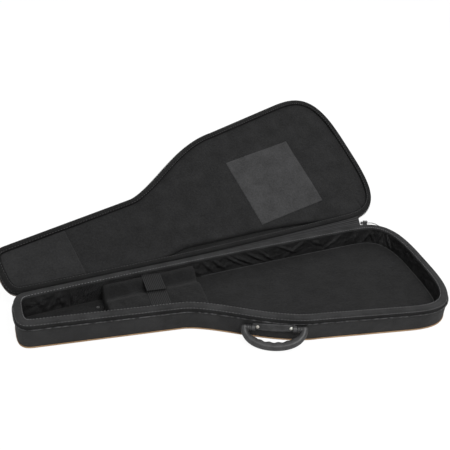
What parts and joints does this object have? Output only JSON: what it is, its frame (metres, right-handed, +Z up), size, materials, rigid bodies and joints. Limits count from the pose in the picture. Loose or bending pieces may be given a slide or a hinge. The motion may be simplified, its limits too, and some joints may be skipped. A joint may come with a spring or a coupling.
{
  "type": "guitar gig bag",
  "caption": "Padded black gig bag for an electric guitar, lying open on its back, with a hinged lid, neck cradle with strap, and a swinging carrying handle.",
  "frame": {"origin": "underside of the back panel, in the middle of the bag's length", "axes": "+X towards the body end, +Y towards the hinge, +Z up out of the open bag"},
  "size_m": [1.0904, 0.7643, 0.3006],
  "materials": {
    "shell cloth": "matt",
    "fleece": "matt",
    "lining cloth": "matt",
    "patch cloth": "matt",
    "webbing": "matt",
    "hook and loop": "matt",
    "foam": "matt",
    "board": "matt",
    "tan piping": "matt",
    "coil": "satin",
    "moulded": "satin",
    "steel": "satin",
    "pale metal": "satin"
  },
  "bodies": {
    "tray": {"body_floor_pad": "fleece", "handle_backing_plate": "steel", "handle_pin_left": "steel", "handle_pin_right": "steel", "handle_plate": "moulded", "handle_rivet_left": "pale metal", "handle_rivet_right": "pale metal", "hinge_leaf_tray": "shell cloth", "neck_cradle": "fleece", "neck_floor_pad": "fleece", "pull_tab": "webbing", "pull_tab_stud": "steel", "strap_loop_patch": "hook and loop", "strap_lower_half": "webbing", "tray_back_panel": "shell cloth", "tray_base_board": "board", "tray_foam_wall": "foam", "tray_piping": "tan piping", "tray_rim_binding": "shell cloth", "tray_side_cover": "shell cloth", "tray_wall_lining": "lining cloth", "tray_zip_coil": "coil", "tray_zip_tape": "shell cloth", "zip_stop_left": "steel", "zip_stop_right": "steel"},
    "lid": {"hinge_leaf_lid": "shell cloth", "lid_edge_foam": "foam", "lid_face_cover": "shell cloth", "lid_foam_sheet": "foam", "lid_head_patch": "patch cloth", "lid_lining": "fleece", "lid_pad": "foam", "lid_piping": "tan piping", "lid_rim_binding": "shell cloth", "lid_side_cover": "shell cloth", "lid_square_patch": "patch cloth", "lid_zip_coil": "coil", "lid_zip_tape": "shell cloth"},
    "strap flap": {"strap_hook_patch": "hook and loop", "strap_upper_half": "webbing"},
    "handle": {"handle_bail": "moulded"},
    "zip slider left": {"zip_slider_left": "steel"},
    "zip pull left": {"zip_pull_left": "steel"},
    "zip slider right": {"zip_slider_right": "steel"},
    "zip pull right": {"zip_pull_right": "steel"}
  },
  "joints": [
    {"name": "lid_hinge", "type": "hinge", "parent": "tray", "child": "lid", "pos_m": [0.01943, 0.14403, 0.06648], "axis": [-0.9879, -0.1543, -0.0135], "range_deg": [-146.5, 0]},
    {"name": "strap_flap", "type": "hinge", "parent": "tray", "child": "strap flap", "pos_m": [-0.18743, 0.08552, 0.0572], "axis": [-1, 0, 0], "range_deg": [0, 76]},
    {"name": "handle_swing", "type": "hinge", "parent": "tray", "child": "handle", "pos_m": [0.04942, -0.16535, 0.0368], "axis": [-0.9312, 0.3594, -0.061], "range_deg": [0, 100]},
    {"name": "zip_slide_left", "type": "slide", "parent": "tray", "child": "zip slider left", "axis": [-0.9845, -0.1754, 0.0086], "range_m": [0, 0.008]},
    {"name": "zip_pull_swing_left", "type": "hinge", "parent": "zip slider left", "child": "zip pull left", "pos_m": [-0.40729, 0.07859, 0.05466], "axis": [0.9845, 0.1754, 0], "range_deg": [0, 22]},
    {"name": "zip_slide_right", "type": "slide", "parent": "tray", "child": "zip slider right", "axis": [0.9826, -0.1854, -0.0086], "range_m": [0, 0.008]},
    {"name": "zip_pull_swing_right", "type": "hinge", "parent": "zip slider right", "child": "zip pull right", "pos_m": [0.44635, 0.20517, 0.0647], "axis": [0.9827, -0.1854, 0], "range_deg": [0, 22]}
  ]
}
